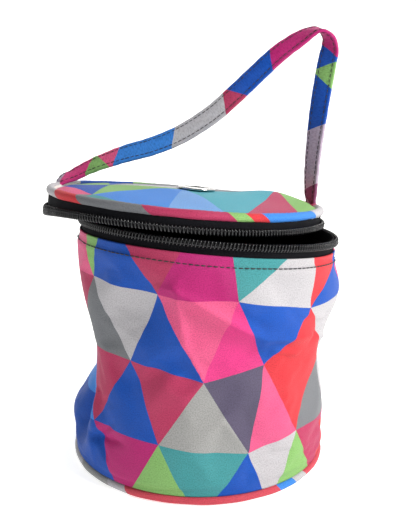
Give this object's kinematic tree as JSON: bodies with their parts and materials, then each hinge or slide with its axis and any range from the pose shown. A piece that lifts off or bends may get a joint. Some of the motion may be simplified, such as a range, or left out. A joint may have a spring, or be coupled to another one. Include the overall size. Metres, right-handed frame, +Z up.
{
  "type": "round yarn bag",
  "caption": "Small round soft bag with a zip-around lid, a steel eyelet in the lid for feeding yarn, welted seams and a folded fabric carrying strap.",
  "frame": {"origin": "middle of the base, on the surface that the bag stands on", "axes": "+Z up, front of the bag towards -Y, hinge of the lid towards +Y, the open lid sits off centre towards -X"},
  "size_m": [0.1381, 0.1335, 0.203],
  "materials": {
    "printed_cloth": "printed polyester cloth in a many-coloured triangle pattern, fine grain, slight sheen",
    "black_lining": "thin black lining cloth",
    "stiffener": "matte sheet",
    "welt_cord": "twisted cord",
    "foam": "thin foam sheet",
    "zip_tape": "black woven tape",
    "zip_coil": "black nylon coil, glossy",
    "eyelet_steel": "bright nickel",
    "slider_metal": "black enamelled zinc"
  },
  "bodies": {
    "bag": {"base_panel": "printed_cloth", "base_board": "stiffener", "base_lining": "black_lining", "base_welt": "printed_cloth", "base_welt_cord": "welt_cord", "wall_cloth": "printed_cloth", "wall_lining": "black_lining", "zip_tape_lower": "zip_tape", "zip_coil_lower": "zip_coil", "hinge_cloth": "printed_cloth"},
    "lid": {"lid_cloth": "printed_cloth", "lid_foam": "foam", "lid_lining": "black_lining", "lid_welt": "printed_cloth", "lid_welt_cord": "welt_cord", "zip_tape_upper": "zip_tape", "zip_coil_upper": "zip_coil", "eyelet": "eyelet_steel", "eyelet_washer": "eyelet_steel", "strap_root_left": "printed_cloth", "strap_root_right": "printed_cloth"},
    "strap": {"carry_strap": "printed_cloth"},
    "slider": {"zip_slider": "slider_metal"},
    "pull": {"slider_pull": "slider_metal"}
  },
  "joints": [
    {"name": "lid_hinge", "type": "hinge", "parent": "bag", "child": "lid", "pos_m": [0.00254, 0.06293, 0.11541], "axis": [-0.9971, 0, 0.0767], "range_deg": [0, 180]},
    {"name": "strap_swing", "type": "hinge", "parent": "lid", "child": "strap", "pos_m": [-0.00648, 0.01319, 0.12859], "axis": [0.9971, 0, -0.0767], "range_deg": [-50, 50]},
    {"name": "zip_slide", "type": "hinge", "parent": "bag", "child": "slider", "pos_m": [0.0025, -0.0018, 0.1149], "axis": [0.0763, 0.108, 0.9912], "range_deg": [0, 291], "deforming": ["zip_tape_upper", "zip_coil_upper"]},
    {"name": "pull_swing", "type": "hinge", "parent": "slider", "child": "pull", "pos_m": [-0.03577, 0.05305, 0.11187], "axis": [0.0763, 0.108, 0.9912], "range_deg": [0, 180]}
  ]
}
